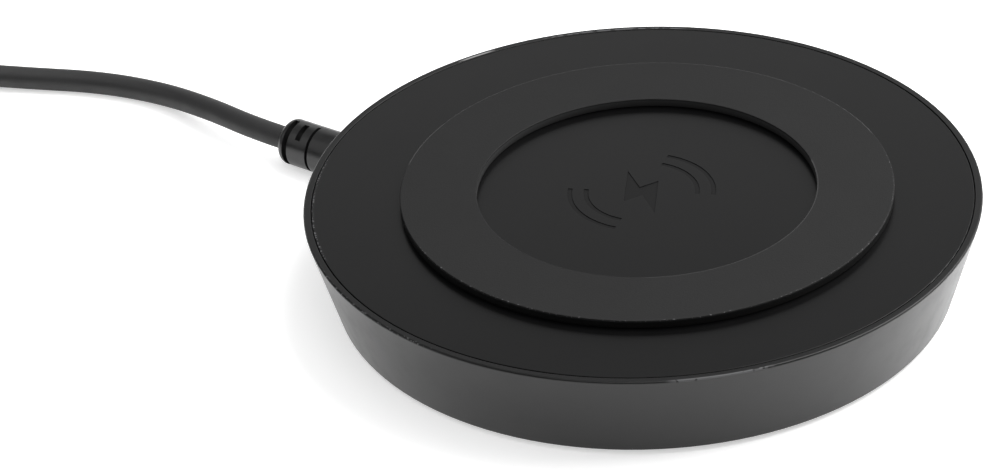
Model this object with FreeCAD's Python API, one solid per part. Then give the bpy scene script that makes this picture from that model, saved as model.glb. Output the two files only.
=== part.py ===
"""Round wireless charging pad with a fixed USB cord.

Frame: millimetres, +Z up, origin at the bottom centre of the disc, on the surface that it
stands on. The cord leaves the wall towards +Y.
"""
import FreeCAD, Part
import math
import os
from FreeCAD import Vector

# Driving dimensions
FOOT_HEIGHT = 0.8            # how far the rubber foot lifts the body
BODY_HEIGHT = 14.1           # wall, from its bottom edge to the rim
TOP_RADIUS = 50.0            # rim, outside
BASE_RADIUS = 46.0           # bottom edge of the wall, outside
WALL = 2.1                   # wall thickness, measured level
RIM_OPENING = 48.8           # radius of the opening that takes the top plate
PLATE_RADIUS = 48.67
PLATE_THICKNESS = 1.6
GLUE = 0.1                   # glue and tape layers
TAPE_MARGIN = 0.3            # ring left free of tape at both edges of the grip ring
RING_OUTER = 36.3            # grip ring on the plate
RING_INNER = 25.0
RING_THICKNESS = 1.2
RING_PLACE = Vector(0.16, -0.78, 0)    # how far off the centre it is stuck down
LEDGE_RADIUS = 45.9          # inner edge of the ledge that carries the plate
LEDGE_THICKNESS = 1.5
GLUE_OUTER = 48.3            # ring of glue between the plate and the ledge
GLUE_INNER = 46.2
RIM_ROUNDING = 0.28
BOTTOM_ROUNDING = 0.35
OPENING_ROUNDING = 0.1
PLATE_ROUNDING = 0.1
RING_ROUNDING = 0.15
MARK_DEPTH = 0.1             # bolt and arcs sunk into the plate
MARK_TURN = -26.0
ARC_RADII = (8.2, 10.6)
ARC_HALF_WIDTH = 0.35
ARC_SWEEP = 76.0
ARC_STARTS = (-38.0, 142.0)

BASE_THICKNESS = 1.4         # base cover
BASE_GAP = 0.15              # level gap between base cover and wall
SCREW_CIRCLE = 38.8
SCREW_ANGLES = (30, 150, 210, 330)
POST_RADIUS = 3.0
POST_BITE = 0.5              # how far the posts run into the ledge
POST_PILOT = 1.2
POST_PILOT_DEPTH = 6.5
WEB_LENGTH = 12.0            # web that joins a post to the wall, before it is trimmed
BOSS_RADIUS = 3.6            # boss on the cover under each post
BOSS_HEIGHT = 1.2
HEAD_WELL_RADIUS = 2.6       # well that hides a base screw's head
HEAD_WELL_DEPTH = 1.3
SHANK_CLEARANCE = 1.4
COVER_ROUNDING = 0.2
FOOT_OUTER = 35.0            # rubber foot ring
FOOT_INNER = 29.0
FOOT_SUNK = 0.5              # depth of its groove
FOOT_ROUNDING = 0.25

CORD_RADIUS = 1.825
CORD_AXIS_Z = 3.72           # height of the cord's axis at the wall
SLEEVE_START_Y = 43.0        # strain relief outside the wall, before the wall's slope trims it
SLEEVE_WAIST_Y = 57.0
SLEEVE_END_Y = 66.6
SLEEVE_RADII = (3.7, 3.69, 3.67)
MOUTH_ROUNDING = 1.2
SIDE_SLOTS = ((60.6, 0.5), (64.9, 0.9))    # place along the sleeve, and width
CROSS_SLOTS = ((62.7, 0.95),)
SIDE_SLOT_HALF = 78.0        # half of the angle that each slot spans
CROSS_SLOT_HALF = 25.0
SLOT_TURN = 290.0            # middle of a side slot, round the cord from straight up
CROSS_SLOT_TURN = 336.0
SLOT_CORE = 2.45             # radius left under the slots
NECK_RADIUS = 3.0            # strain relief where it passes through the wall
NECK_END_Y = 49.0
NECK_LIFT = 0.05             # clearance over the wall's bottom edge
NECK_FIT = 0.05
FLANGE_Y = 40.3              # its inner flange
FLANGE_THICKNESS = 1.5
FLANGE_RADIUS = 4.6

JACKET_END_Y = 34.6          # where the cord's jacket is stripped
WIRE_RADIUS = 0.5
CLAMP_Y = 37.4               # cord clamp
CLAMP_DEPTH = 4.0
CLAMP_SCREW_X = 5.8
CLAMP_Z = CORD_AXIS_Z + 0.4
CLAMP_WIDTH = 16.4
CLAMP_THICKNESS = 2.2
CRADLE_WIDTH = 5.4
CLAMP_POST_RADIUS = 2.1
BOARD_POST_RADIUS = 2.6
SMALL_PILOT = 0.85           # pilot hole of the board's and the clamp's screws
SMALL_PILOT_SUNK = 0.4
SMALL_CLEARANCE = 1.1

# Screws: shank radius, length under the head, head radius, head height
BASE_SCREW = (1.15, 7.0, 2.4, 1.2)
BOARD_SCREW = (0.8, 3.0, 1.7, 0.9)
CLAMP_SCREW = (0.8, 4.4, 1.7, 0.9)

COIL_OUTER = 21.6            # transmitter coil
COIL_TURNS = 10
COIL_PITCH = 1.1
LITZ_RADIUS = 0.52
COIL_TAPE_OUTER = 22.0
COIL_TAPE_INNER = 10.2
FERRITE_RADIUS = 24.0
FERRITE_HOLE = 11.0
FERRITE_THICKNESS = 1.5

BOARD_THICKNESS = 1.0
BOARD_LIFT = 2.0             # height of the board's posts above the base cover
BOARD_HALF_X = 26.0
BOARD_LOW_Y = -14.0
BOARD_HIGH_Y = 27.0
BOARD_CORNER = 3.0
SOLDER_HEIGHT = 0.8

PLUG_NECK = 9.0              # USB-A plug
PLUG_BODY = 24.0
PLUG_WIDTH = 15.6
PLUG_HEIGHT = 7.9
SHELL_WIDTH = 12.0
SHELL_HEIGHT = 4.5
SHELL_REACH = 12.0           # steel shell outside the overmould, and inside it
SHELL_HIDDEN = 6.0
SHEET = 0.3
PLUG_ROUNDING = 2.2
PLUG_REAR_ROUNDING = 1.2
PLUG_NECK_RADII = (2.5, 3.3)
GROOVE_PLACES = (2.0, 4.2, 6.4)    # grooves round the plug's neck
GROOVE_WIDTH = 0.8
GROOVE_CORE = 2.35
DISH_RADIUS = 30.0           # shallow finger dishes, above and below
DISH_DEPTH = 0.4
DISH_WIDTH = 9.6
DISH_LENGTH = 16.0
DISH_START = 4.0             # from the rear of the overmould
WINDOW_LENGTH = 2.3          # windows in the steel shell
WINDOW_WIDTH = 2.2
WINDOW_START = 5.6
WINDOW_PLACES = (-2.9, 2.9)
TONGUE_LOW = 0.05
TONGUE_SHORT = 0.6           # the tongue ends this far inside the shell
TONGUE_ROOT = 1.5            # thick root of the tongue, past the overmould's face
CONTACTS = ((-3.5, 8.6), (-1.0, 7.6), (1.0, 7.6), (3.5, 8.6))    # place across the plug, and length
CONTACT_WIDTH = 1.0
CONTACT_THICKNESS = 0.15

# Heights worked out from them
RIM_Z = FOOT_HEIGHT + BODY_HEIGHT
PLATE_Z = RIM_Z - PLATE_THICKNESS
LEDGE_Z = PLATE_Z - GLUE
BASE_TOP = FOOT_HEIGHT + BASE_THICKNESS
BOSS_TOP = BASE_TOP + BOSS_HEIGHT
COVER_RADIUS = BASE_RADIUS - WALL - BASE_GAP
COIL_Z = PLATE_Z - GLUE - LITZ_RADIUS
FERRITE_TOP = COIL_Z - LITZ_RADIUS - GLUE
BOARD_Z = BASE_TOP + BOARD_LIFT
BOARD_TOP = BOARD_Z + BOARD_THICKNESS
SLOPE = (TOP_RADIUS - BASE_RADIUS) / BODY_HEIGHT
UP = Vector(0, 0, 1)
EAST = Vector(1, 0, 0)
NORTH = Vector(0, 1, 0)

# Board layout: x, y, then the size of each piece in x, y and z
BOARD_HOLES = ((-22.5, 23.5), (22.5, 23.5), (-22.5, -10.5), (22.5, -10.5))
CHIP = ((-3.0, 7.0, 7.0, 7.0, 0.9),)
MOSFETS = tuple((x, y, 5.0, 6.0, 1.0) for x in (9.0, 16.0) for y in (-3.0, 5.0))
RESONANT_CAPS = tuple((x, y, 5.7, 5.0, 2.5) for x in (-19.5, -12.5) for y in (-3.5, 3.0))
INDUCTOR = ((17.0, 15.0, 6.6, 6.6, 3.0),)
BULK_CAPS = tuple((9.0, y, 3.2, 2.5, 2.0) for y in (12.0, 15.6, 19.2))
CRYSTAL = ((-12.0, 11.5, 3.2, 2.5, 0.7),)
REGULATOR = ((-1.5, 16.5, 6.5, 3.5, 1.6),)
SHUNT = ((2.0, -4.0, 3.2, 6.3, 0.6),)
RESISTORS = tuple(
    (x, y, 1.6, 0.8, 0.45) for x in (-20.5, -17.5, -14.5) for y in (9.0, 15.0, 17.0, 19.0)
)
SMALL_CAPS = tuple((x, 0.6, 0.8, 1.6, 0.8) for x in (-7.0, -5.0, -3.0, -1.0)) + tuple(
    (x, 12.9, 0.8, 1.6, 0.8) for x in (-6.0, -4.0, -2.0, 0.0)
)
CLAMP_HOLES = ((-CLAMP_SCREW_X, CLAMP_Y), (CLAMP_SCREW_X, CLAMP_Y))
CORD_PADS = (-4.5, -1.5, 1.5, 4.5)
CORD_PAD_Y = 24.0
COIL_PADS = (-2.0, 2.0)
COIL_PAD_Y = -11.0

# Cord: hand-chosen route from the strain relief to the put-away coil, and on to the plug
COIL_MIDDLE = 19.25          # radius at the middle of the coil's turns
COIL_ROWS = 4                # turns side by side
COIL_LAYERS = 2
COIL_LIFT = 0.65             # the ties' thickness under the coil
ENTRY_ANGLE = 34.0           # where the cord joins the outer turn, and where it leaves it
LEAVE_ANGLE = 115.0
STUB = 14.0                  # straight stretch of cord fixed to the coil's solid
TIE_ANGLES = (75, 255)
TIE_WIDTH = 5.0
TIE_THICKNESS = 0.6
TIE_GAP = 0.03               # between the turns and the tie
TIE_BENDS = (1.9, 1.3)       # rounding of the tie's outside and inside
LEAD_BENDS = (
    (0.0, 73.5, CORD_AXIS_Z),
    (1.9, 84.0, 3.2),
    (3.7, 95.5, CORD_RADIUS),
    (1.4, 106.5, CORD_RADIUS),
    (-3.5, 117.5, CORD_RADIUS),
    (-9.2, 128.5, CORD_RADIUS + COIL_LIFT),
)
LAST_RUN = 12.0              # from the last bend to the coil's stub
PLUG_Z = 3.95
TAIL_RUN = 9.0               # from the coil's other stub to the first bend
TAIL_BENDS = (
    (-85.5, 140.8, CORD_RADIUS),
    (-92.8, 130.6, CORD_RADIUS),
    (-97.8, 118.8, PLUG_Z),
)
PLUG_REAR = (-101.2, 109.3, PLUG_Z)


def save(shape, name):
    shape.exportStep("parts/" + name + ".step")
    print(name, len(shape.Solids), "solids", round(shape.Volume, 1), "mm3", shape.isValid())


def polar(radius, degrees, z=0.0):
    angle = math.radians(degrees)
    return Vector(radius * math.cos(angle), radius * math.sin(angle), z)


def cylinder(radius, low, high, at=(0.0, 0.0)):
    return Part.makeCylinder(radius, high - low, Vector(at[0], at[1], low))


def ring(outer, inner, low, high, at=(0.0, 0.0)):
    return cylinder(outer, low, high, at).cut(cylinder(inner, low - 1, high + 1, at))


def block(x, y, width, depth, low, high):
    corner = Vector(x - width / 2, y - depth / 2, low)
    return Part.makeBox(width, depth, high - low, corner)


def along_y(radius, start, end, z=CORD_AXIS_Z, x=0.0):
    return Part.makeCylinder(radius, end - start, Vector(x, start, z), NORTH)


def revolve(points):
    """A solid of revolution about Z from (radius, z) corners."""
    wire = Part.makePolygon([Vector(r, 0, z) for r, z in points + points[:1]])
    return Part.Face(wire).revolve(Vector(0, 0, 0), UP, 360)


def wall_radius(z):
    return BASE_RADIUS + SLOPE * (z - FOOT_HEIGHT)


def edges_at(shape, radius, z, slack=0.02):
    """Round edges about Z with the given radius and height."""
    found = []
    for edge in shape.Edges:
        if not hasattr(edge.Curve, "Radius"):
            continue
        centre = edge.Curve.Center
        near_axis = abs(centre.x) < slack and abs(centre.y) < slack
        if near_axis and abs(edge.Curve.Radius - radius) < slack and abs(centre.z - z) < slack:
            found.append(edge)
    return found


def round_edges(shape, size, *places):
    edges = [edge for radius, z in places for edge in edges_at(shape, radius, z)]
    return shape.makeFillet(size, edges)


def edges_along(shape, way):
    """Straight edges that run along the given direction."""
    return [e for e in shape.Edges if abs(e.tangentAt(e.FirstParameter).dot(way)) > 0.99]


def cord_bore():
    """The cord's own shape, from the board to well past the strain relief's mouth."""
    return along_y(CORD_RADIUS, BOARD_HIGH_Y, SLEEVE_END_Y + 10)


def wall_envelope():
    """Everything inside the wall's outer face, carried straight down to the surface below."""
    return revolve([
        (0, -1),
        (BASE_RADIUS, -1),
        (BASE_RADIUS, FOOT_HEIGHT),
        (TOP_RADIUS, RIM_Z),
        (0, RIM_Z),
    ])


def wall_inside():
    """The space within the wall's inner face, less the base gap."""
    slack = WALL + BASE_GAP
    return revolve([
        (0, FOOT_HEIGHT),
        (wall_radius(FOOT_HEIGHT) - slack, FOOT_HEIGHT),
        (wall_radius(RIM_Z) - slack, RIM_Z),
        (0, RIM_Z),
    ])


def neck_shape(grow=0.0):
    """The strain relief's neck, round above and flat below, or the slot that takes it."""
    half = NECK_RADIUS + grow
    top = along_y(half, FLANGE_Y, NECK_END_Y)
    low = FOOT_HEIGHT + NECK_LIFT - 2 * grow
    corner = Vector(-half, FLANGE_Y, low)
    leg = Part.makeBox(2 * half, NECK_END_Y - FLANGE_Y, CORD_AXIS_Z - low, corner)
    return top.fuse(leg).removeSplitter()


def cover_edge():
    """The base cover's edge at the cord and the space round it, which the strain relief clears."""
    middle = (FLANGE_Y + BASE_RADIUS - WALL) / 2
    depth = BASE_RADIUS - WALL - FLANGE_Y
    return block(0, middle - 5, 20, depth + 10, -5, BASE_TOP + 2 * NECK_FIT)


def side_shell():
    """Glossy tapered wall with its rim, plate ledge and screw posts."""
    low = FOOT_HEIGHT
    ledge_low = LEDGE_Z - LEDGE_THICKNESS
    shell = revolve([
        (wall_radius(low) - WALL, low),
        (wall_radius(low), low),
        (TOP_RADIUS, RIM_Z),
        (RIM_OPENING, RIM_Z),
        (RIM_OPENING, LEDGE_Z),
        (LEDGE_RADIUS, LEDGE_Z),
        (LEDGE_RADIUS, ledge_low),
        (wall_radius(ledge_low) - WALL, ledge_low),
    ])
    shell = round_edges(shell, RIM_ROUNDING, (TOP_RADIUS, RIM_Z))
    shell = round_edges(shell, BOTTOM_ROUNDING, (BASE_RADIUS, low))
    shell = round_edges(shell, OPENING_ROUNDING, (RIM_OPENING, RIM_Z))
    post_top = ledge_low + POST_BITE
    inside = revolve([
        (0, BOSS_TOP),
        (wall_radius(BOSS_TOP) - WALL / 2, BOSS_TOP),
        (wall_radius(ledge_low) - WALL / 2, post_top),
        (0, post_top),
    ])
    for angle in SCREW_ANGLES:
        at = polar(SCREW_CIRCLE, angle)
        post = cylinder(POST_RADIUS, BOSS_TOP, post_top, (at.x, at.y))
        web = block(WEB_LENGTH / 2, 0, WEB_LENGTH, 2 * POST_RADIUS, BOSS_TOP, post_top)
        web.rotate(Vector(0, 0, 0), UP, angle)
        web.translate(at)
        pilot = cylinder(POST_PILOT, BOSS_TOP - 1, BOSS_TOP + POST_PILOT_DEPTH, (at.x, at.y))
        shell = shell.fuse(post.fuse(web).common(inside)).cut(pilot)
    return shell.cut(neck_shape(NECK_FIT)).removeSplitter()


def bolt_mark():
    """A plain lightning bolt between two pairs of arcs, to be sunk into the middle of the plate."""
    low = RIM_Z - MARK_DEPTH
    outline = ((1.3, 6.2), (-3.6, -0.9), (-0.4, -0.9), (-1.5, -6.2), (3.6, 1.2), (0.4, 1.2))
    corners = [Vector(x, y, low) for x, y in outline + outline[:1]]
    mark = Part.Face(Part.makePolygon(corners)).extrude(Vector(0, 0, 1))
    for radius in ARC_RADII:
        band = ring(radius + ARC_HALF_WIDTH, radius - ARC_HALF_WIDTH, low, low + 1)
        for start in ARC_STARTS:
            wedge = Part.makeCylinder(2 * radius, 4, Vector(0, 0, RIM_Z - 2), UP, ARC_SWEEP)
            wedge.rotate(Vector(0, 0, 0), UP, start)
            mark = mark.fuse(band.common(wedge))
    mark.rotate(Vector(0, 0, 0), UP, MARK_TURN)
    return mark


def top_plate():
    plate = cylinder(PLATE_RADIUS, PLATE_Z, RIM_Z)
    plate = round_edges(plate, PLATE_ROUNDING, (PLATE_RADIUS, RIM_Z))
    return plate.cut(bolt_mark())


def grip_ring():
    """Soft ring that the phone lies on."""
    low = RIM_Z + GLUE
    top = low + RING_THICKNESS
    body = ring(RING_OUTER, RING_INNER, low, top)
    body = round_edges(body, RING_ROUNDING, (RING_OUTER, top), (RING_INNER, top))
    body.translate(RING_PLACE)
    return body


def grip_ring_tape():
    tape = ring(RING_OUTER - TAPE_MARGIN, RING_INNER + TAPE_MARGIN, RIM_Z, RIM_Z + GLUE)
    tape.translate(RING_PLACE)
    return tape


def base_cover():
    """Flat cover with the foot's groove, screw bosses, board posts, cord's groove and cradle."""
    cover = cylinder(COVER_RADIUS, FOOT_HEIGHT, BASE_TOP)
    cover = round_edges(cover, COVER_ROUNDING, (COVER_RADIUS, FOOT_HEIGHT))
    inside = wall_inside()
    for angle in SCREW_ANGLES:
        at = polar(SCREW_CIRCLE, angle)
        cover = cover.fuse(cylinder(BOSS_RADIUS, BASE_TOP, BOSS_TOP, (at.x, at.y)).common(inside))
    for hole in BOARD_HOLES:
        cover = cover.fuse(cylinder(BOARD_POST_RADIUS, BASE_TOP, BOARD_Z, hole))
    cradle = block(0, CLAMP_Y, CRADLE_WIDTH, CLAMP_DEPTH, BASE_TOP, CORD_AXIS_Z)
    cover = cover.fuse(cradle).cut(cord_bore())
    for hole in CLAMP_HOLES:
        cover = cover.fuse(cylinder(CLAMP_POST_RADIUS, BASE_TOP, CLAMP_Z, hole))
    cover = cover.cut(ring(FOOT_OUTER, FOOT_INNER, FOOT_HEIGHT - 1, FOOT_HEIGHT + FOOT_SUNK))
    for angle in SCREW_ANGLES:
        at = polar(SCREW_CIRCLE, angle)
        well_top = FOOT_HEIGHT + HEAD_WELL_DEPTH
        cover = cover.cut(cylinder(HEAD_WELL_RADIUS, FOOT_HEIGHT - 1, well_top, (at.x, at.y)))
        cover = cover.cut(cylinder(SHANK_CLEARANCE, FOOT_HEIGHT - 1, BOSS_TOP + 1, (at.x, at.y)))
    for holes, top in ((BOARD_HOLES, BOARD_Z), (CLAMP_HOLES, CLAMP_Z)):
        for hole in holes:
            cover = cover.cut(cylinder(SMALL_PILOT, BASE_TOP - SMALL_PILOT_SUNK, top + 1, hole))
    return cover.removeSplitter()


def cord_clamp():
    """Bar that holds the cord's jacket down on the cradle."""
    bar = block(0, CLAMP_Y, CLAMP_WIDTH, CLAMP_DEPTH, CLAMP_Z, CLAMP_Z + CLAMP_THICKNESS)
    bar = bar.makeFillet(0.6, edges_along(bar, UP)).cut(cord_bore())
    for hole in CLAMP_HOLES:
        bar = bar.cut(cylinder(SMALL_CLEARANCE, CLAMP_Z - 1, CLAMP_Z + CLAMP_THICKNESS + 1, hole))
    return bar


def screw(at, seat, sizes, way=1):
    """A cross-head screw: seat is the height its head bears on, way is 1 with the head on top."""
    shank_radius, length, head_radius, head_height = sizes
    shank_low = seat - length if way > 0 else seat
    shank = cylinder(shank_radius, shank_low, shank_low + length, at)
    head_low = seat if way > 0 else seat - head_height
    head = cylinder(head_radius, head_low, head_low + head_height, at)
    face = head_low + head_height if way > 0 else head_low
    rim = [e for e in head.Edges if hasattr(e.Curve, "Radius") and abs(e.Curve.Center.z - face) < 0.01]
    head = head.makeFillet(head_height * 0.35, rim)
    deep = head_height * 0.55
    cross_low = face - deep if way > 0 else face - 1
    for width, depth in ((head_radius * 1.1, head_radius * 0.3), (head_radius * 0.3, head_radius * 1.1)):
        head = head.cut(block(at[0], at[1], width, depth, cross_low, cross_low + deep + 1))
    return shank.fuse(head)


def group(pieces):
    return Part.makeCompound(pieces)


def base_screws():
    places = [polar(SCREW_CIRCLE, angle) for angle in SCREW_ANGLES]
    seat = FOOT_HEIGHT + HEAD_WELL_DEPTH
    return group([screw((place.x, place.y), seat, BASE_SCREW, -1) for place in places])


def board_screws():
    return group([screw(hole, BOARD_TOP, BOARD_SCREW) for hole in BOARD_HOLES])


def clamp_screws():
    return group([screw(hole, CLAMP_Z + CLAMP_THICKNESS, CLAMP_SCREW) for hole in CLAMP_HOLES])


def foot_ring():
    body = ring(FOOT_OUTER, FOOT_INNER, 0, FOOT_HEIGHT + FOOT_SUNK)
    return round_edges(body, FOOT_ROUNDING, (FOOT_OUTER, 0), (FOOT_INNER, 0))


def slot_sector(y, width, centre, half_angle):
    """A slot across part of the strain relief. Its centre is an angle round the cord from straight up."""
    cut = Part.makeCylinder(8, width, Vector(0, y - width / 2, CORD_AXIS_Z), NORTH, 2 * half_angle)
    cut.rotate(Vector(0, 0, CORD_AXIS_Z), NORTH, centre - half_angle)
    return cut.cut(along_y(SLOT_CORE, y - 2, y + 2))


def strain_relief():
    """Rubber sleeve with staggered slots, a neck through the wall and a flange inside."""
    places = (SLEEVE_START_Y, SLEEVE_WAIST_Y, SLEEVE_END_Y)
    outline = [Vector(radius, y, 0) for y, radius in zip(places, SLEEVE_RADII)]
    outline = [Vector(0, SLEEVE_START_Y, 0)] + outline + [Vector(0, SLEEVE_END_Y, 0)]
    wire = Part.makePolygon(outline + outline[:1])
    sleeve = Part.Face(wire).revolve(Vector(0, 0, 0), NORTH, 360)
    mouth = [
        e for e in sleeve.Edges
        if hasattr(e.Curve, "Radius") and abs(e.Curve.Center.y - SLEEVE_END_Y) < 0.01
    ]
    sleeve = sleeve.makeFillet(MOUTH_ROUNDING, mouth)
    sleeve.translate(Vector(0, 0, CORD_AXIS_Z))
    flange = along_y(FLANGE_RADIUS, FLANGE_Y, FLANGE_Y + FLANGE_THICKNESS)
    inner = neck_shape().fuse(flange).cut(cover_edge())
    relief = sleeve.cut(wall_envelope()).fuse(inner)
    sides = (SIDE_SLOTS, SLOT_TURN, SIDE_SLOT_HALF)
    across = (CROSS_SLOTS, CROSS_SLOT_TURN, CROSS_SLOT_HALF)
    for slots, turn, half in (sides, across):
        for y, width in slots:
            for centre in (turn, turn + 180):
                relief = relief.cut(slot_sector(y, width, centre, half))
    return relief.cut(cord_bore()).removeSplitter()


def cord_jacket_inner():
    """The cord's jacket inside the strain relief, as far as the clamp."""
    return along_y(CORD_RADIUS, JACKET_END_Y, SLEEVE_END_Y)


def pipe(points, radius, factor=0.45, report=None):
    """A round wire along straight runs joined by tangent arcs."""
    corners = [Vector(*p) for p in points]
    edges = []
    at = corners[0]
    for before, corner, after in zip(corners, corners[1:], corners[2:]):
        back = before - corner
        ahead = after - corner
        turn = math.pi - back.getAngle(ahead)
        trim = factor * min(back.Length, ahead.Length)
        bend = trim / math.tan(turn / 2)
        if report:
            print(report, "turn", round(math.degrees(turn), 1), "radius", round(bend, 1))
        back.normalize()
        ahead.normalize()
        first = corner + back * trim
        last = corner + ahead * trim
        inward = back + ahead
        inward.normalize()
        middle = corner + inward * (math.hypot(bend, trim) - bend)
        edges.append(Part.LineSegment(at, first).toShape())
        edges.append(Part.Arc(first, middle, last).toShape())
        at = last
    edges.append(Part.LineSegment(at, corners[-1]).toShape())
    path = Part.Wire(edges)
    section = Part.Wire(Part.makeCircle(radius, corners[0], corners[1] - corners[0]))
    tube = path.makePipeShell([section], True, True)
    if report:
        ratio = tube.Volume / (math.pi * radius * radius * path.Length)
        print(report, "length", round(path.Length, 1), "volume ratio", round(ratio, 4))
    return tube


def transmitter_coil():
    """One layer of litz wire wound flat, each turn two half circles."""
    edges = []
    radius = COIL_OUTER - LITZ_RADIUS
    end = Vector(radius, 0, COIL_Z)
    centre = 0.0
    for half in range(2 * COIL_TURNS):
        side = 1 if half % 2 == 0 else -1
        far = Vector(centre - side * radius, 0, COIL_Z)
        top = Vector(centre, side * radius, COIL_Z)
        edges.append(Part.Arc(end, top, far).toShape())
        radius -= COIL_PITCH / 2
        centre -= side * COIL_PITCH / 2
        end = far
    path = Part.Wire(edges)
    start = path.Edges[0].Vertexes[0].Point
    section = Part.Wire(Part.makeCircle(LITZ_RADIUS, Vector(*start), NORTH))
    return path.makePipeShell([section], True, True), end


def coil_leads(inner_end):
    """Wires from the coil's two ends, down through the ferrite's slot to the board."""
    low = FERRITE_TOP - FERRITE_THICKNESS
    outer_x = COIL_OUTER - LITZ_RADIUS
    outer = [
        (outer_x, 0.0, COIL_Z),
        (outer_x, -2.4, COIL_Z),
        (outer_x + 1.6, -6.8, COIL_Z),
        (outer_x + 3.6, -10.6, COIL_Z - 0.1),
        (outer_x + 4.2, -14.2, low - 0.8),
        (outer_x + 0.6, -17.6, low - 2.2),
        (outer_x - 8.0, -18.2, low - 2.6),
        (6.0, -15.6, low - 3.0),
        (COIL_PADS[1], COIL_PAD_Y, low - 3.2),
        (COIL_PADS[1], COIL_PAD_Y, BOARD_TOP),
    ]
    inner = [
        (inner_end.x, 0.0, COIL_Z),
        (inner_end.x, 1.8, COIL_Z),
        (inner_end.x - 1.2, 4.0, COIL_Z - 0.8),
        (inner_end.x - 3.4, 5.4, low - 1.4),
        (2.6, 0.6, low - 2.2),
        (-1.0, -7.0, low - 2.6),
        (COIL_PADS[0], COIL_PAD_Y, low - 3.2),
        (COIL_PADS[0], COIL_PAD_Y, BOARD_TOP),
    ]
    return pipe(outer, LITZ_RADIUS), pipe(inner, LITZ_RADIUS)


def circuit_board():
    width = 2 * BOARD_HALF_X
    middle = (BOARD_LOW_Y + BOARD_HIGH_Y) / 2
    board = block(0, middle, width, BOARD_HIGH_Y - BOARD_LOW_Y, BOARD_Z, BOARD_TOP)
    board = board.makeFillet(BOARD_CORNER, edges_along(board, UP))
    for hole in BOARD_HOLES:
        board = board.cut(cylinder(SMALL_CLEARANCE, BOARD_Z - 1, BOARD_TOP + 1, hole))
    return board


def on_board(places, bevel=0.0):
    """Small blocks that stand on the board."""
    pieces = []
    for x, y, width, depth, height in places:
        piece = block(x, y, width, depth, BOARD_TOP, BOARD_TOP + height)
        if bevel:
            piece = piece.makeFillet(bevel, edges_along(piece, UP))
        pieces.append(piece)
    return group(pieces)


def solder_joints():
    """Solder round each wire's end, hollow where the wire stands in it."""
    joints = []
    for places, y, radius in ((CORD_PADS, CORD_PAD_Y, WIRE_RADIUS), (COIL_PADS, COIL_PAD_Y, LITZ_RADIUS)):
        for x in places:
            cone = Part.makeCone(1.3, 0.75, SOLDER_HEIGHT, Vector(x, y, BOARD_TOP))
            joints.append(cone.cut(cylinder(radius, BOARD_TOP - 1, BOARD_TOP + 2, (x, y))))
    return group(joints)


def cord_conductors():
    """The four insulated wires, from the end of the jacket to their solder pads."""
    wires = {}
    names = ("white", "red", "black", "green")
    starts = ((-0.65, -0.62), (-0.62, 0.65), (0.62, 0.62), (0.65, -0.65))
    crest = BOARD_TOP + 2.2
    for name, pad, (x, lift) in zip(names, CORD_PADS, starts):
        z = CORD_AXIS_Z + lift
        route = [
            (x, JACKET_END_Y, z),
            (x, JACKET_END_Y - 1.8, z),
            (pad, 29.4, crest - 0.5),
            (pad, CORD_PAD_Y, crest),
            (pad, CORD_PAD_Y, BOARD_TOP),
        ]
        wires["conductor_" + name] = pipe(route, WIRE_RADIUS)
    return wires


def coil_ends():
    """Where the coil's outer turn meets its two stubs, the stubs' far ends, and its centre."""
    outer = COIL_MIDDLE + (COIL_ROWS - 1) * CORD_RADIUS
    arrive = polar(1, ENTRY_ANGLE + 90)
    depart = polar(1, LEAVE_ANGLE + 90)
    last = Vector(LEAD_BENDS[-1][0], LEAD_BENDS[-1][1], 0)
    centre = last + arrive * (LAST_RUN + STUB) - polar(outer, ENTRY_ANGLE)
    low = Vector(0, 0, COIL_LIFT + CORD_RADIUS)
    high = Vector(0, 0, COIL_LIFT + (2 * COIL_LAYERS - 1) * CORD_RADIUS)
    joins = centre + polar(outer, ENTRY_ANGLE) + low
    leaves = centre + polar(outer, LEAVE_ANGLE) + high
    return joins, joins - arrive * STUB, leaves, leaves + depart * STUB, centre


def cord_coil():
    """Outer shape of the wound part of the cord, with a straight stub at each end."""
    joins, start, leaves, end, centre = coil_ends()
    half = COIL_ROWS * CORD_RADIUS
    low = COIL_LIFT
    high = COIL_LIFT + 2 * COIL_LAYERS * CORD_RADIUS
    body = ring(COIL_MIDDLE + half, COIL_MIDDLE - half, low, high)
    body = round_edges(
        body, CORD_RADIUS * 0.9,
        (COIL_MIDDLE + half, low), (COIL_MIDDLE + half, high),
        (COIL_MIDDLE - half, low), (COIL_MIDDLE - half, high),
    )
    body.translate(centre)
    for near, far in ((joins, start), (leaves, end)):
        body = body.fuse(Part.makeCylinder(CORD_RADIUS, STUB, near, far - near))
    return body.removeSplitter()


def cord_ties():
    """Two straps round the coil's turns."""
    centre = coil_ends()[-1]
    shells = []
    for grow, bend in zip((TIE_GAP + TIE_THICKNESS, TIE_GAP), TIE_BENDS):
        half = COIL_ROWS * CORD_RADIUS + grow
        outer, inner = COIL_MIDDLE + half, COIL_MIDDLE - half
        low = COIL_LIFT - grow
        high = COIL_LIFT + 2 * COIL_LAYERS * CORD_RADIUS + grow
        places = [(radius, z) for radius in (outer, inner) for z in (low, high)]
        shells.append(round_edges(ring(outer, inner, low, high), bend, *places))
    sleeve = shells[0].cut(shells[1])
    straps = []
    for angle in TIE_ANGLES:
        strap = sleeve.common(block(COIL_MIDDLE, 0, COIL_MIDDLE, TIE_WIDTH, -1, 2 * COIL_MIDDLE))
        strap.rotate(Vector(0, 0, 0), UP, angle)
        strap.translate(centre)
        straps.append(strap)
    return group(straps)


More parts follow.
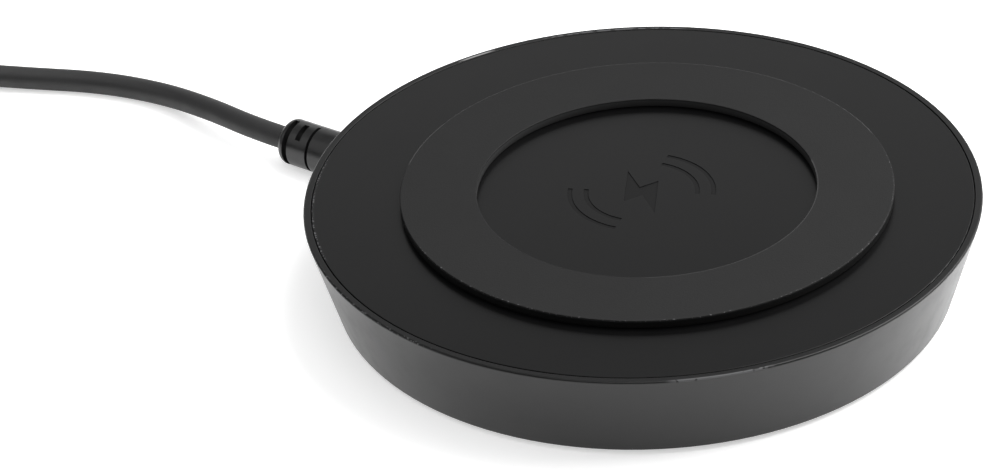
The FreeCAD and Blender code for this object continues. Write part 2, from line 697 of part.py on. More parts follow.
def cord_tubes():
    joins, start, leaves, end, centre = coil_ends()
    mouth = (0.0, SLEEVE_END_Y, CORD_AXIS_Z)
    lead = [mouth] + list(LEAD_BENDS) + [tuple(start)]
    first = end + polar(TAIL_RUN, LEAVE_ANGLE + 90)
    tail = [tuple(end), tuple(first)] + list(TAIL_BENDS) + [PLUG_REAR]
    for name, route in (("lead", lead), ("tail", tail)):
        runs = [(Vector(*b) - Vector(*a)).Length for a, b in zip(route, route[1:])]
        print(name, "runs", [round(run, 1) for run in runs])
    return pipe(lead, CORD_RADIUS, report="lead"), pipe(tail, CORD_RADIUS, report="tail")


def place_plug(shape):
    """Moves a plug piece from its own frame, +X out of the mouth, to the end of the cord."""
    last = TAIL_BENDS[-1]
    heading = math.degrees(math.atan2(PLUG_REAR[1] - last[1], PLUG_REAR[0] - last[0]))
    moved = shape.copy()
    moved.rotate(Vector(0, 0, 0), UP, heading)
    moved.translate(Vector(*PLUG_REAR))
    return moved


def x_block(start, length, width, low, high):
    return Part.makeBox(length, width, high - low, Vector(start, -width / 2, low))


def plug_overmould(hidden):
    """Grip of the plug with its grooved neck and finger dishes, hollow where the shell is."""
    half = PLUG_HEIGHT / 2
    body = x_block(PLUG_NECK, PLUG_BODY, PLUG_WIDTH, -half, half)
    body = body.makeFillet(PLUG_ROUNDING, edges_along(body, EAST))
    rear = [e for e in body.Edges if e.BoundBox.XMax < PLUG_NECK + 0.01]
    body = body.makeFillet(PLUG_REAR_ROUNDING, rear)
    start, end = PLUG_NECK_RADII
    overmould = body.fuse(Part.makeCone(start, end, PLUG_NECK + 1, Vector(0, 0, 0), EAST))
    for place in GROOVE_PLACES:
        groove = Part.makeCylinder(half, GROOVE_WIDTH, Vector(place, 0, 0), EAST)
        core = Part.makeCylinder(GROOVE_CORE, GROOVE_WIDTH, Vector(place, 0, 0), EAST)
        overmould = overmould.cut(groove.cut(core))
    middle = PLUG_NECK + DISH_START + DISH_LENGTH / 2
    pad = x_block(middle - DISH_LENGTH / 2, DISH_LENGTH, DISH_WIDTH, -PLUG_HEIGHT, PLUG_HEIGHT)
    for side in (-1, 1):
        axis = Vector(middle, -DISH_WIDTH, side * (half + DISH_RADIUS - DISH_DEPTH))
        dish = Part.makeCylinder(DISH_RADIUS, 2 * DISH_WIDTH, axis, NORTH)
        overmould = overmould.cut(dish.common(pad))
    return overmould.cut(hidden).removeSplitter()


def plug_pieces():
    """USB-A plug: overmould, steel shell, tongue and contacts."""
    face = PLUG_NECK + PLUG_BODY
    start = face - SHELL_HIDDEN
    length = SHELL_HIDDEN + SHELL_REACH
    shell = x_block(start, length, SHELL_WIDTH, -SHELL_HEIGHT / 2, SHELL_HEIGHT / 2)
    overmould = plug_overmould(shell)
    inner_width = SHELL_WIDTH - 2 * SHEET
    inner_half = SHELL_HEIGHT / 2 - SHEET
    shell = shell.cut(x_block(start - 1, length + 2, inner_width, -inner_half, inner_half))
    for y in WINDOW_PLACES:
        corner = Vector(face + WINDOW_START, y - WINDOW_WIDTH / 2, -SHELL_HEIGHT)
        shell = shell.cut(Part.makeBox(WINDOW_LENGTH, WINDOW_WIDTH, 2 * SHELL_HEIGHT, corner))
    tongue = x_block(start, length - TONGUE_SHORT, inner_width, TONGUE_LOW, inner_half)
    root = x_block(start, SHELL_HIDDEN + TONGUE_ROOT, inner_width, -inner_half, TONGUE_LOW)
    tongue = tongue.fuse(root).removeSplitter()
    contacts = []
    for y, reach in CONTACTS:
        corner = Vector(face + TONGUE_ROOT, y - CONTACT_WIDTH / 2, TONGUE_LOW - CONTACT_THICKNESS)
        contacts.append(Part.makeBox(reach, CONTACT_WIDTH, CONTACT_THICKNESS, corner))
    pieces = {
        "plug_overmould": overmould,
        "plug_shell": shell,
        "plug_tongue": tongue,
        "plug_contacts": group(contacts),
    }
    return {name: place_plug(shape) for name, shape in pieces.items()}


def model():
    coil, inner_end = transmitter_coil()
    outer_lead, inner_lead = coil_leads(inner_end)
    lead, tail = cord_tubes()
    parts = {
        "side_shell": side_shell(),
        "top_plate": top_plate(),
        "top_plate_glue": ring(GLUE_OUTER, GLUE_INNER, LEDGE_Z, PLATE_Z),
        "grip_ring": grip_ring(),
        "grip_ring_tape": grip_ring_tape(),
        "base_cover": base_cover(),
        "base_screws": base_screws(),
        "foot_ring": foot_ring(),
        "strain_relief": strain_relief(),
        "cord_jacket_inner": cord_jacket_inner(),
        "cord_clamp": cord_clamp(),
        "clamp_screws": clamp_screws(),
        "transmitter_coil": coil,
        "coil_tape": ring(COIL_TAPE_OUTER, COIL_TAPE_INNER, PLATE_Z - GLUE, PLATE_Z),
        "coil_lead_outer": outer_lead,
        "coil_lead_inner": inner_lead,
        "ferrite_shield": ring(FERRITE_RADIUS, FERRITE_HOLE, FERRITE_TOP - FERRITE_THICKNESS, FERRITE_TOP),
        "ferrite_tape": ring(COIL_TAPE_OUTER, FERRITE_HOLE + 0.2, FERRITE_TOP, FERRITE_TOP + GLUE),
        "circuit_board": circuit_board(),
        "board_screws": board_screws(),
        "controller_chip": on_board(CHIP),
        "power_mosfets": on_board(MOSFETS),
        "resonant_capacitors": on_board(RESONANT_CAPS),
        "power_inductor": on_board(INDUCTOR, 1.2),
        "bulk_capacitors": on_board(BULK_CAPS),
        "clock_crystal": on_board(CRYSTAL, 0.4),
        "voltage_regulator": on_board(REGULATOR),
        "sense_resistor": on_board(SHUNT),
        "small_resistors": on_board(RESISTORS),
        "small_capacitors": on_board(SMALL_CAPS),
        "solder_joints": solder_joints(),
        "cord_lead": lead,
        "cord_coil": cord_coil(),
        "cord_ties": cord_ties(),
        "cord_tail": tail,
    }
    parts.update(cord_conductors())
    parts.update(plug_pieces())
    return parts


os.makedirs("parts", exist_ok=True)
for name, shape in model().items():
    save(shape, name)
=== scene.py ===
"""Looks of the wireless charging pad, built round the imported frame. Metres, +Z up."""
import bpy
import math
from mathutils import Matrix, Vector


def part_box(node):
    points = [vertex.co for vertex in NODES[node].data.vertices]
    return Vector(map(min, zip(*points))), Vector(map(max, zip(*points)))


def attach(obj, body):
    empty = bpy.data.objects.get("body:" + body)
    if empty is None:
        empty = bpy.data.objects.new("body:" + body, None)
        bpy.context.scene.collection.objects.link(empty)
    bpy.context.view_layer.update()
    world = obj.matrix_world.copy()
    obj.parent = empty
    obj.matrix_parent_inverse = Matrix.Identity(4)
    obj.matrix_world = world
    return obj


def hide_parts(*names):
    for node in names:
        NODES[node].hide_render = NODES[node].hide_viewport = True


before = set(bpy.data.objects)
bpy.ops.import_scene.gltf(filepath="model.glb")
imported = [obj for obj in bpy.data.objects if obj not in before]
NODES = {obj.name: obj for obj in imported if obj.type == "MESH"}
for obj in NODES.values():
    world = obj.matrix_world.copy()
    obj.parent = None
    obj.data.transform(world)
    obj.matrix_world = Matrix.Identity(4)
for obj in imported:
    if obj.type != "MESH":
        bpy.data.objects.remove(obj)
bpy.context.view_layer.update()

MM = 0.001
RIM_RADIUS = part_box("side_shell")[1].x
RIM_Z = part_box("side_shell")[1].z
RING_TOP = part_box("grip_ring")[1].z
RING_INNER = 25.0 * MM
CORD_RADIUS = 1.825 * MM
CORD_AXIS_Z = (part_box("cord_jacket_inner")[0].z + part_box("cord_jacket_inner")[1].z) / 2
CORD_EXIT = (0.0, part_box("strain_relief")[1].y, CORD_AXIS_Z)

# ---------------------------------------------------------------- camera

CAMERA_TURN = -53.23         # degrees from the row's +X to the view's right-hand side
CAMERA_DOWN = 32.066         # degrees that it looks down
CAMERA_ROLL = 3.294          # degrees
CAMERA_AWAY = 11.7945        # this and the next two in rim radii
CAMERA_LEFT = 0.4245
CAMERA_BELOW = 0.107
LENS = 144.0                 # mm, on the sensor's width
SENSOR_WIDTH = 36.0
CLIP = (0.01, 20.0)


def make_camera():
    turn = math.radians(CAMERA_TURN)
    down = math.radians(CAMERA_DOWN)
    roll = math.radians(CAMERA_ROLL)
    right = Vector((math.cos(turn), math.sin(turn), 0))
    ahead = Vector((-math.sin(turn) * math.cos(down), math.cos(turn) * math.cos(down), -math.sin(down)))
    up = right.cross(ahead)
    place = -(right * CAMERA_LEFT + up * CAMERA_BELOW + ahead * CAMERA_AWAY) * RIM_RADIUS
    place.z += RIM_Z
    side = right * math.cos(roll) - up * math.sin(roll)
    top = right * math.sin(roll) + up * math.cos(roll)
    data = bpy.data.cameras.new("camera")
    data.lens = LENS
    data.sensor_width = SENSOR_WIDTH
    data.clip_start, data.clip_end = CLIP
    camera = bpy.data.objects.new("camera", data)
    camera.matrix_world = Matrix.Translation(place) @ Matrix((side, top, -ahead)).transposed().to_4x4()
    bpy.context.scene.collection.objects.link(camera)
    bpy.context.scene.camera = camera
    return right, ahead


VIEW_RIGHT, VIEW_AHEAD = make_camera()

# ---------------------------------------------------------------- cord

COIL_MIDDLE = 19.25 * MM     # radius at the middle of the rows
COIL_ROWS = 4
COIL_LIFT = 0.65 * MM        # the ties pass under the coil
ENTRY_ANGLE = 34.0           # degrees round the coil from +X
LEAVE_ANGLE = 115.0
WHOLE_TURNS = 7
COIL_POINTS = 116
LAST_RUN = 26.0 * MM         # from the lead's last point to the coil
TAIL_RUN = 23.0 * MM         # from the coil to the tail's first point
CLIMB_STARTS = -80.0         # on the inner turn, from the lower layer to the upper one
CLIMB_ENDS = -30.0
STEP_IN_ENDS = 30.0          # lower layer, one row inwards each turn
STEP_OUT_STARTS = -140.0     # upper layer, one row outwards each turn
LEAD = (
    (0.0, 0.0735, CORD_AXIS_Z),
    (0.0019, 0.084, 0.0032),
    (0.0037, 0.0955, CORD_RADIUS),
    (0.0014, 0.1065, CORD_RADIUS),
    (-0.0035, 0.1175, CORD_RADIUS),
    (-0.0092, 0.1285, CORD_RADIUS + COIL_LIFT),
)
TAIL = (
    (-0.0855, 0.1408, CORD_RADIUS),
    (-0.0928, 0.1306, CORD_RADIUS),
    (-0.0978, 0.1188, 0.00395),
    (-0.1012, 0.1093, 0.00395),
)


def polar(radius, degrees, z=0.0):
    angle = math.radians(degrees)
    return Vector((radius * math.cos(angle), radius * math.sin(angle), z))


def eased(value, start, end):
    """0 before start, 1 after end, and smooth between them."""
    part = min(max((value - start) / (end - start), 0.0), 1.0)
    return part * part * (3 - 2 * part)


def turn_place(angle):
    """Row (0 is the outer one) and layer (0 or 1) of the coil, at an angle counted on over the turns."""
    row = 0.0
    for turn in range(1, COIL_ROWS):
        row += eased(angle, 360 * turn + CLIMB_ENDS, 360 * turn + STEP_IN_ENDS)
    climb = 360 * COIL_ROWS
    layer = eased(angle, climb + CLIMB_STARTS, climb + CLIMB_ENDS)
    for turn in range(1, COIL_ROWS):
        later = climb + 360 * turn
        row -= eased(angle, later + STEP_OUT_STARTS, later + CLIMB_STARTS)
    return row, layer


def cord_points():
    """The whole route: lead, wound coil and tail, as part.py has it."""
    outer = COIL_MIDDLE + (COIL_ROWS - 1) * CORD_RADIUS
    last = Vector((LEAD[-1][0], LEAD[-1][1], 0))
    centre = last + polar(LAST_RUN, ENTRY_ANGLE + 90) - polar(outer, ENTRY_ANGLE)
    sweep = 360 * WHOLE_TURNS + LEAVE_ANGLE - ENTRY_ANGLE
    step = sweep / COIL_POINTS
    stand_out = 1 / math.cos(math.radians(step / 2))
    points = [Vector(CORD_EXIT)] + [Vector(p) for p in LEAD]
    for index in range(COIL_POINTS + 2):
        angle = ENTRY_ANGLE + (index - 0.5) * step
        row, layer = turn_place(angle)
        z = COIL_LIFT + CORD_RADIUS * (1 + 2 * layer)
        points.append(centre + polar((outer - 2 * CORD_RADIUS * row) * stand_out, angle, z))
    leaves = centre + polar(outer, LEAVE_ANGLE, COIL_LIFT + 3 * CORD_RADIUS)
    points.append(leaves + polar(TAIL_RUN, LEAVE_ANGLE + 90))
    return points + [Vector(p) for p in TAIL]


def make_cord():
    curve = bpy.data.curves.new("cord", "CURVE")
    curve.dimensions = "3D"
    curve.bevel_depth = 1.0      # times each point's radius, by which Blender also widens the curve's box
    curve.bevel_resolution = 8
    curve.resolution_u = 8
    curve.use_fill_caps = True
    spline = curve.splines.new("NURBS")
    points = cord_points()
    spline.points.add(len(points) - 1)
    for point, place in zip(spline.points, points):
        point.co = (*place, 1.0)
        point.radius = CORD_RADIUS
    spline.order_u = 3
    spline.use_endpoint_u = True
    cord = bpy.data.objects.new("cord", curve)
    bpy.context.scene.collection.objects.link(cord)
    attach(cord, "root")
    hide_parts("cord_lead", "cord_coil", "cord_tail")
    return cord


cord = make_cord()

# ---------------------------------------------------------------- materials


class Finish:
    """A procedural material. Its patterns lie in the object's own space, with sizes in millimetres."""

    def __init__(self, slot, colour, roughness, **shader_values):
        self.slot = slot
        self.material = bpy.data.materials.new(slot + "_finish")
        self.material.use_nodes = True
        self.tree = self.material.node_tree
        self.shader = self.tree.nodes["Principled BSDF"]
        self.colour = (*colour, 1)
        self.roughness = roughness
        self.shader.inputs["Base Color"].default_value = self.colour
        self.shader.inputs["Roughness"].default_value = roughness
        for name, value in shader_values.items():
            self.shader.inputs[name.replace("_", " ")].default_value = value
        self.place = self.node("ShaderNodeTexCoord", {}, "Object")
        self.relief = None

    def node(self, kind, inputs, output=0, **settings):
        """Adds a node, feeds its inputs with numbers or other nodes' outputs, and gives its output."""
        made = self.tree.nodes.new(kind)
        for name, value in settings.items():
            setattr(made, name, value)
        for name, value in inputs.items():
            if isinstance(value, bpy.types.NodeSocket):
                self.tree.links.new(value, made.inputs[name])
            else:
                made.inputs[name].default_value = value
        return made.outputs[output]

    def noise(self, size, detail=2.0, place=None):
        """Soft random spots about size millimetres across, from 0 to 1."""
        inputs = {"Vector": place or self.place, "Scale": 1 / (size * MM), "Detail": detail}
        return self.node("ShaderNodeTexNoise", inputs)

    def span(self, value, start, end, low=0.0, high=1.0):
        """Value mapped from start...end to low...high, and held beyond them."""
        inputs = {0: value, 1: start, 2: end, 3: low, 4: high}
        return self.node("ShaderNodeMapRange", inputs)

    def maths(self, operation, first, second=0.0):
        return self.node("ShaderNodeMath", {0: first, 1: second}, operation=operation)

    def height(self):
        return self.node("ShaderNodeSeparateXYZ", {0: self.place}, "Z")

    def radius(self, middle=(0.0, 0.0)):
        """Distance from an upright axis."""
        off = self.node("ShaderNodeVectorMath", {0: self.place, 1: (*middle, 0)}, operation="SUBTRACT")
        flat = self.node("ShaderNodeVectorMath", {0: off, 1: (1, 1, 0)}, operation="MULTIPLY")
        return self.node("ShaderNodeVectorMath", {0: flat}, "Value", operation="LENGTH")

    def arc(self, start, end, fade=2.0):
        """1 between two directions round the disc, in degrees from +X, fading to 0 beyond them."""
        middle = math.radians((start + end) / 2)
        toward = (math.cos(middle), math.sin(middle), 0)
        off = self.node("ShaderNodeVectorMath", {0: self.place, 1: (1, 1, 0)}, operation="MULTIPLY")
        way = self.node("ShaderNodeVectorMath", {0: off}, operation="NORMALIZE")
        cosine = self.node("ShaderNodeVectorMath", {0: way, 1: toward}, "Value", operation="DOT_PRODUCT")
        half = (end - start) / 2
        inside, outside = math.cos(math.radians(half)), math.cos(math.radians(half + fade))
        return self.span(cosine, outside, inside)

    def drive(self, name, value):
        """Feeds one of the shader's inputs."""
        self.tree.links.new(value, self.shader.inputs[name])

    def band(self, value, middle, half_width):
        """1 within half_width of middle, fading to 0 at twice that distance."""
        off = self.maths("ABSOLUTE", self.maths("SUBTRACT", value, middle))
        return self.span(off, half_width, 2 * half_width, 1.0, 0.0)

    def tint(self, factor, colour):
        """Turns the surface to colour where factor is 1."""
        target = self.shader.inputs["Base Color"]
        before = target.links[0].from_socket if target.is_linked else self.colour
        mixed = self.node("ShaderNodeMix", {0: factor, 6: before, 7: (*colour, 1)}, 2, data_type="RGBA")
        self.tree.links.new(mixed, target)

    def gloss(self, factor, roughness):
        """Turns the roughness to the given one where factor is 1."""
        target = self.shader.inputs["Roughness"]
        before = target.links[0].from_socket if target.is_linked else self.roughness
        mixed = self.node("ShaderNodeMix", {0: factor, 2: before, 3: roughness}, 0, data_type="FLOAT")
        self.tree.links.new(mixed, target)

    def bump(self, height, depth):
        """Lifts the surface by depth millimetres where height is 1."""
        inputs = {"Height": height, "Distance": depth * MM, "Strength": 1.0}
        if self.relief:
            inputs["Normal"] = self.relief
        self.relief = self.node("ShaderNodeBump", inputs)
        self.tree.links.new(self.relief, self.shader.inputs["Normal"])

    def grain(self, size, depth, colour, patches=9.0, roughness=None):
        """Fine grain, and slow uneven shade and gloss such as moulding and handling leave."""
        fine = self.noise(size, 3.0)
        self.bump(fine, depth)
        self.tint(self.maths("MULTIPLY", self.noise(patches, 4.0), self.span(fine, 0.3, 0.7)), colour)
        if roughness is not None:
            self.gloss(self.span(self.noise(patches * 0.6, 5.0), 0.35, 0.7), roughness)

    def flecks(self, size, above, colour, where=None):
        """Specks where fine noise rises above a level, such as dust, nicks, and painted glints along an
        edge.
        """
        speck = self.span(self.noise(size, 1.0), above, above + 0.04)
        factor = self.maths("MULTIPLY", speck, where) if where else speck
        self.tint(factor, colour)
        return factor


BLACK = (0.0065, 0.0065, 0.0068)
WALL_BLACK = (0.003, 0.003, 0.0031)
PLATE_BLACK = (0.0012, 0.0012, 0.0013)
PLATE_PALER = (0.002, 0.002, 0.0021)
RING_FACE = (0.0028, 0.0028, 0.0029)
RING_FACE_PALER = (0.0042, 0.0042, 0.0043)
# painted light and shade on the ring's cut walls: inner wall painted paler, paler still near its top;
# outer wall painted near black
RING_INNER_WALL_PAINTED_LIGHT = (0.017, 0.017, 0.0172)
RING_INNER_WALL_TOP_PAINTED_LIGHT = (0.046, 0.046, 0.0464)
RING_OUTER_WALL_PAINTED_SHADE = (0.001, 0.001, 0.001)
# painted highlight on the ring's top edges
RING_EDGE_HIGHLIGHT = (0.3, 0.3, 0.3)
JACKET = (0.012, 0.012, 0.0122)
JACKET_PALER = (0.019, 0.019, 0.0192)
# dust and wear specks; on the rim's outer edge also painted glints
SCUFF_AND_GLINT = (0.07, 0.07, 0.072)
# painted glint
PAINTED_GLINT = (0.2, 0.2, 0.2)

MARK_REACHES = (20 * MM, 21 * MM)    # the sunk mark lies inside these radii
RIM_COAT = 0.08
WALL_COAT = 0.34

# where the rim has worn specks and painted highlights: two directions in degrees, fleck size (mm), noise
# level, how far in from the outer edge and how wide to each side (mm), colour
EDGE_WEAR_AND_GLINTS = (
    (219, 233, 1.1, 0.40, 0.12, 0.12, SCUFF_AND_GLINT),
    (27, 50, 0.9, 0.42, 0.75, 0.11, SCUFF_AND_GLINT),
    (63, 67, 0.9, 0.30, 0.75, 0.12, PAINTED_GLINT),
    (112, 176, 0.35, 0.62, 0.12, 0.12, SCUFF_AND_GLINT),
)


def side_shell_finish():
    """Glossy clear-coated wall, dull rim, and an outer edge with worn specks and painted highlights in
    places.
    """
    shell = Finish("side_shell", WALL_BLACK, 0.36, Specular_IOR_Level=0.2, Coat_Roughness=0.26)
    z = shell.height()
    r = shell.radius()
    coat = shell.span(z, RIM_Z - 0.05 * MM, RIM_Z - 0.2 * MM, RIM_COAT, WALL_COAT)
    shell.drive("Coat Weight", coat)
    shell.gloss(shell.span(shell.noise(4.0, 4.0), 0.45, 0.7), 0.41)
    # painted highlights along the rim's outer edge, broken into specks, with worn specks among them
    for start, end, size, above, inset, width, colour in EDGE_WEAR_AND_GLINTS:
        edge = shell.maths("MULTIPLY", shell.band(r, RIM_RADIUS - inset * MM, width * MM),
                           shell.band(z, RIM_Z - 0.08 * MM, 0.12 * MM))
        shell.flecks(size, above, colour, shell.maths("MULTIPLY", edge, shell.arc(start, end)))
    shell.bump(shell.noise(3.5, 1.0), 0.005)
    return shell


def top_plate_finish():
    """Fine satin plastic, duller in the sunk mark, with dust in part of the gap round it."""
    plate = Finish("top_plate", PLATE_BLACK, 0.28, Specular_IOR_Level=0.2)
    plate.grain(0.16, 0.003, PLATE_PALER, 12, 0.31)
    sunk = plate.span(plate.height(), RIM_Z - 0.02 * MM, RIM_Z - 0.06 * MM)
    near_middle = plate.span(plate.radius(), *MARK_REACHES, 1.0, 0.0)
    plate.gloss(plate.maths("MULTIPLY", sunk, near_middle), 0.75)
    gap = plate.band(plate.radius(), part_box("top_plate")[1].x, 0.2 * MM)
    plate.flecks(0.4, 0.55, SCUFF_AND_GLINT, plate.maths("MULTIPLY", gap, plate.arc(110, 142)))
    return plate


def grip_ring_finish():
    """Silicone cut from sheet: dull face, cut walls with painted light and shade, and top edges with
    painted highlights.
    """
    ring = Finish("grip_ring", RING_FACE, 0.7, Specular_IOR_Level=0.27)
    z = ring.height()
    low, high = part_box("grip_ring")
    middle = ((low.x + high.x) / 2, (low.y + high.y) / 2)
    outer = (high.x - low.x) / 2
    r = ring.radius(middle)
    ring.grain(0.22, 0.02, RING_FACE_PALER, 10, 0.72)
    cut = ring.span(z, RING_TOP - 0.1 * MM, RING_TOP - 0.3 * MM)
    # painted light: the cut walls painted paler than the face
    ring.tint(cut, RING_INNER_WALL_PAINTED_LIGHT)
    # painted light: the inner wall painted paler towards its top
    upper = ring.span(z, RING_TOP - 1.1 * MM, RING_TOP - 0.2 * MM)
    ring.tint(ring.maths("MULTIPLY", cut, upper), RING_INNER_WALL_TOP_PAINTED_LIGHT)
    # painted shade: the outer cut wall painted near black
    outward = ring.span(r, outer - 2 * MM, outer - 1 * MM)
    ring.tint(ring.maths("MULTIPLY", cut, outward), RING_OUTER_WALL_PAINTED_SHADE)
    on_edge = ring.band(z, RING_TOP, 0.12 * MM)
    # painted highlights: paler lines on two arcs of the ring's top edges
    for edge_radius, start, end, amount in ((outer, -35, 110, 0.14), (RING_INNER, 215, 315, 0.1)):
        edge = ring.maths("MULTIPLY", ring.band(r, edge_radius, 0.12 * MM), on_edge)
        edge = ring.maths("MULTIPLY", edge, ring.arc(start, end))
        ring.tint(ring.maths("MULTIPLY", edge, amount), RING_EDGE_HIGHLIGHT)
    front_edge = ring.maths("MULTIPLY", ring.band(r, outer, 0.15 * MM), on_edge)
    ring.flecks(0.35, 0.64, SCUFF_AND_GLINT, ring.maths("MULTIPLY", front_edge, ring.arc(150, 320)))
    return ring


def cord_finish():
    """Extruded jacket with a dull skin and faint flow marks."""
    jacket = Finish("cord_jacket", JACKET, 0.5, IOR=1.48)
    jacket.grain(0.25, 0.015, JACKET_PALER, 6, 0.62)
    jacket.bump(jacket.noise(4.0, 2.0), 0.04)
    return jacket


def strain_relief_finish():
    """Moulded rubber, smoother than the cord."""
    sleeve = Finish("strain_relief", BLACK, 0.3, IOR=1.5)
    sleeve.grain(0.3, 0.006, (0.012, 0.012, 0.012), 3, 0.36)
    return sleeve


def base_cover_finish():
    """Textured plastic with a little dust."""
    cover = Finish("base_cover", BLACK, 0.5)
    cover.grain(0.2, 0.03, (0.013, 0.013, 0.0132), 9, 0.62)
    cover.flecks(0.5, 0.72, SCUFF_AND_GLINT)
    return cover


def screw_finish():
    """Dark plated steel, uneven in shade and gloss."""
    steel = Finish("screw_steel", (0.16, 0.155, 0.15), 0.3, Metallic=1.0)
    steel.grain(0.15, 0.01, (0.26, 0.25, 0.24), 1.5, 0.45)
    return steel


def plug_steel_finish():
    """Rolled and plated steel, with fine lines along the shell."""
    steel = Finish("plug_steel", (0.62, 0.61, 0.59), 0.24, Metallic=1.0)
    lines = steel.node("ShaderNodeVectorMath", {0: steel.place, 1: (1, 0.08, 1)}, operation="MULTIPLY")
    steel.bump(steel.noise(0.12, 2.0, lines), 0.006)
    steel.gloss(steel.span(steel.noise(1.6, 4.0), 0.4, 0.65), 0.38)
    steel.tint(steel.span(steel.noise(3.0, 3.0), 0.45, 0.7), (0.5, 0.49, 0.47))
    return steel


def circuit_board_finish():
    """Green solder mask over copper runs, which show as paler lines."""
    board = Finish("board", (0.006, 0.045, 0.018), 0.3, Coat_Weight=0.4)
    grid = {"Vector": board.place, "Scale": 1 / (2.4 * MM), "Mortar Size": 0.04, "Bias": 0.0}
    runs = board.node("ShaderNodeTexBrick", grid, 1)
    board.tint(board.maths("MULTIPLY", runs, 0.6), (0.02, 0.10, 0.04))
    board.bump(runs, 0.02)
    board.gloss(board.span(board.noise(5, 3.0), 0.4, 0.7), 0.42)
    return board


# slot: colour, second colour, roughness, second roughness, grain and its depth, patches (mm), metallic
PLAIN = {
    "glue": ((0.55, 0.52, 0.42), (0.62, 0.6, 0.5), 0.35, 0.5, 0.6, 0.02, 4, 0),
    "tape": ((0.62, 0.58, 0.45), (0.7, 0.66, 0.55), 0.45, 0.6, 0.5, 0.02, 5, 0),
    "foot_rubber": ((0.012, 0.012, 0.012), (0.03, 0.03, 0.029), 0.8, 0.9, 0.3, 0.04, 5, 0),
    "inner_plastic": ((0.012, 0.012, 0.012), (0.02, 0.02, 0.02), 0.5, 0.62, 0.3, 0.02, 5, 0),
    "litz_copper": ((0.62, 0.24, 0.09), (0.78, 0.36, 0.16), 0.32, 0.45, 0.18, 0.04, 3, 1),
    "ferrite": ((0.035, 0.034, 0.034), (0.06, 0.058, 0.056), 0.55, 0.7, 0.25, 0.03, 6, 0),
    "chip_epoxy": ((0.012, 0.012, 0.013), (0.02, 0.02, 0.021), 0.55, 0.65, 0.12, 0.01, 2, 0),
    "ceramic_capacitor": ((0.42, 0.30, 0.19), (0.5, 0.37, 0.24), 0.4, 0.5, 0.15, 0.01, 1, 0),
    "crystal_can": ((0.6, 0.6, 0.58), (0.5, 0.5, 0.49), 0.25, 0.36, 0.2, 0.006, 2, 1),
    "solder": ((0.66, 0.66, 0.65), (0.52, 0.52, 0.52), 0.22, 0.4, 0.3, 0.02, 1, 1),
    "wire_white": ((0.7, 0.7, 0.68), (0.78, 0.78, 0.76), 0.42, 0.5, 0.3, 0.01, 4, 0),
    "wire_red": ((0.42, 0.02, 0.015), (0.5, 0.03, 0.025), 0.42, 0.5, 0.3, 0.01, 4, 0),
    "wire_black": ((0.012, 0.012, 0.012), (0.02, 0.02, 0.02), 0.42, 0.5, 0.3, 0.01, 4, 0),
    "wire_green": ((0.02, 0.22, 0.05), (0.03, 0.28, 0.07), 0.42, 0.5, 0.3, 0.01, 4, 0),
    "cord_tie": ((0.012, 0.012, 0.012), (0.022, 0.022, 0.022), 0.6, 0.72, 0.3, 0.03, 3, 0),
    "plug_overmould": ((0.010, 0.010, 0.010), (0.018, 0.018, 0.018), 0.42, 0.56, 0.25, 0.02, 5, 0),
    "plug_tongue": ((0.75, 0.75, 0.73), (0.68, 0.68, 0.66), 0.38, 0.48, 0.2, 0.008, 2, 0),
    "contact_gold": ((0.85, 0.6, 0.22), (0.75, 0.5, 0.17), 0.22, 0.35, 0.2, 0.006, 1, 1),
}


def plain_finish(slot, colour, second, rough, second_rough, grain, depth, patches, metallic):
    finish = Finish(slot, colour, rough, Metallic=float(metallic))
    finish.grain(grain, depth, second, patches, second_rough)
    return finish


def make_finishes():
    special = (
        side_shell_finish(), top_plate_finish(), grip_ring_finish(), cord_finish(), strain_relief_finish(),
        base_cover_finish(), screw_finish(), plug_steel_finish(), circuit_board_finish(),
    )
    plain = [plain_finish(slot, *values) for slot, values in PLAIN.items()]
    return {finish.slot: finish.material for finish in (*special, *plain)}


def dress(finishes):
    for node in NODES.values():
        for place in node.material_slots:
            place.material = finishes[place.material.name]
    cord.data.materials.append(finishes["cord_jacket"])


# ---------------------------------------------------------------- stage and light


FLOOR_HALF = 4.0
FLOOR_WHITE = 0.78
FLOOR_GLOW = 0.55            # keeps the shadow under the wall faint
WORLD_GLOW = 0.025
LIGHT_AWAY = 1.2


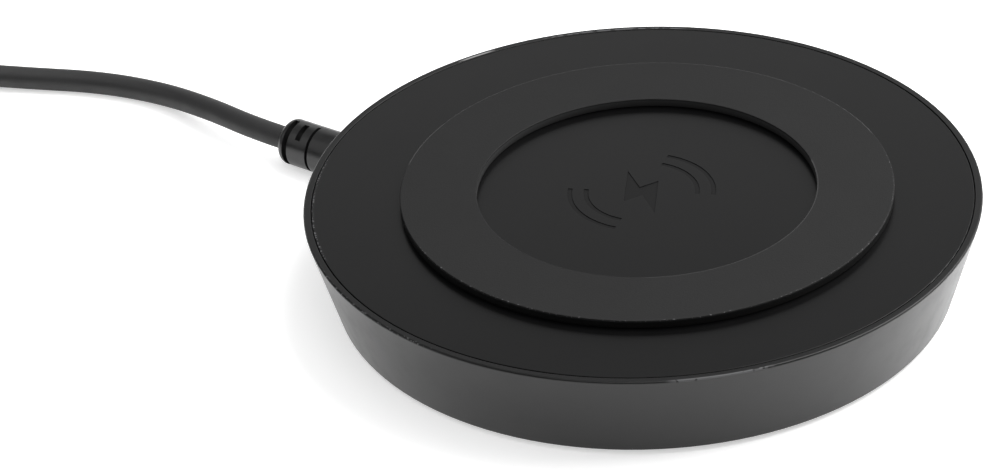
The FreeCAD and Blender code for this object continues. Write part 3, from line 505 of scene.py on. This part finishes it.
def make_floor():
    mesh = bpy.data.meshes.new("floor")
    corners = [(x * FLOOR_HALF, y * FLOOR_HALF, 0) for x, y in ((-1, -1), (1, -1), (1, 1), (-1, 1))]
    mesh.from_pydata(corners, [], [(0, 1, 2, 3)])
    floor = bpy.data.objects.new("floor", mesh)
    bpy.context.scene.collection.objects.link(floor)
    paper = bpy.data.materials.new("floor_paper")
    paper.use_nodes = True
    shader = paper.node_tree.nodes["Principled BSDF"]
    shader.inputs["Base Color"].default_value = (FLOOR_WHITE, FLOOR_WHITE, FLOOR_WHITE, 1)
    shader.inputs["Roughness"].default_value = 0.9
    shader.inputs["Specular IOR Level"].default_value = 0.2
    shader.inputs["Emission Color"].default_value = (1, 1, 1, 1)
    shader.inputs["Emission Strength"].default_value = FLOOR_GLOW
    mesh.materials.append(paper)


def area_light(name, place, aim, size, power):
    data = bpy.data.lights.new(name, "AREA")
    data.shape = "RECTANGLE"
    data.size, data.size_y = size
    data.energy = power
    lamp = bpy.data.objects.new(name, data)
    lamp.location = place
    lamp.rotation_mode = "QUATERNION"
    lamp.rotation_quaternion = (Vector(aim) - Vector(place)).to_track_quat("-Z", "Y")
    bpy.context.scene.collection.objects.link(lamp)


def soft_box(name, azimuth, elevation, size, power):
    """A soft box at LIGHT_AWAY; azimuth 0 is the view's right-hand side and 90 is behind the object."""
    behind = Vector((VIEW_AHEAD.x, VIEW_AHEAD.y, 0)).normalized()
    around = math.radians(azimuth)
    level = VIEW_RIGHT * math.cos(around) + behind * math.sin(around)
    upward = math.radians(elevation)
    place = (level * math.cos(upward) + Vector((0, 0, math.sin(upward)))) * LIGHT_AWAY
    area_light(name, place, (0, 0, RIM_Z), size, power)


def make_light():
    soft_box("softbox_above", 90, 89, (1.2, 1.2), 4.2)
    soft_box("softbox_behind", 90, 22, (2.0, 0.7), 3.2)
    soft_box("softbox_right", 20, 50, (1.2, 1.2), 28.5)
    soft_box("softbox_left", 180, 35, (0.9, 0.9), 2.2)
    soft_box("softbox_front", -90, 60, (0.9, 0.9), 4.0)
    world = bpy.data.worlds.new("studio")
    world.use_nodes = True
    background = world.node_tree.nodes["Background"]
    background.inputs["Color"].default_value = (1, 1, 1, 1)
    background.inputs["Strength"].default_value = WORLD_GLOW
    bpy.context.scene.world = world
    bpy.context.scene.view_settings.view_transform = "Standard"


dress(make_finishes())
make_floor()
make_light()
